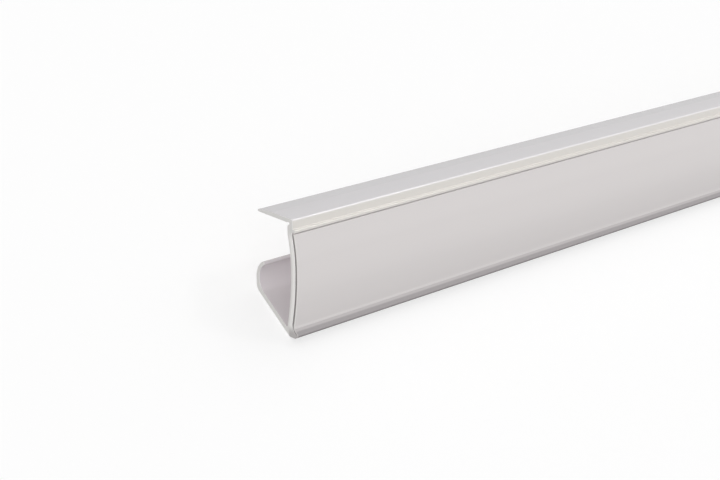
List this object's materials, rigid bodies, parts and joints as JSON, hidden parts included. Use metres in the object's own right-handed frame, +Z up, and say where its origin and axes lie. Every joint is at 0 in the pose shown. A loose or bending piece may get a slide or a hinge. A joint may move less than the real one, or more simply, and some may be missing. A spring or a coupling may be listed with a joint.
{
  "type": "shelf edge ticket profile",
  "caption": "Extruded shelf-edge profile: flange on top, bulged ticket front with a thin flap over a slot, flared toe and a sprung rear leg that grips the shelf.",
  "frame": {"origin": "centre of the box's underside, on the floor that the leg's flat underside rests on", "axes": "+X along the stock, +Y towards the flange's free edge as the profile lies, +Z up"},
  "size_m": [1, 0.0458, 0.0391],
  "materials": {
    "profile": "even satin silver grey, sawn ends"
  },
  "bodies": {
    "root": {"ticket_profile": "profile"}
  },
  "joints": []
}
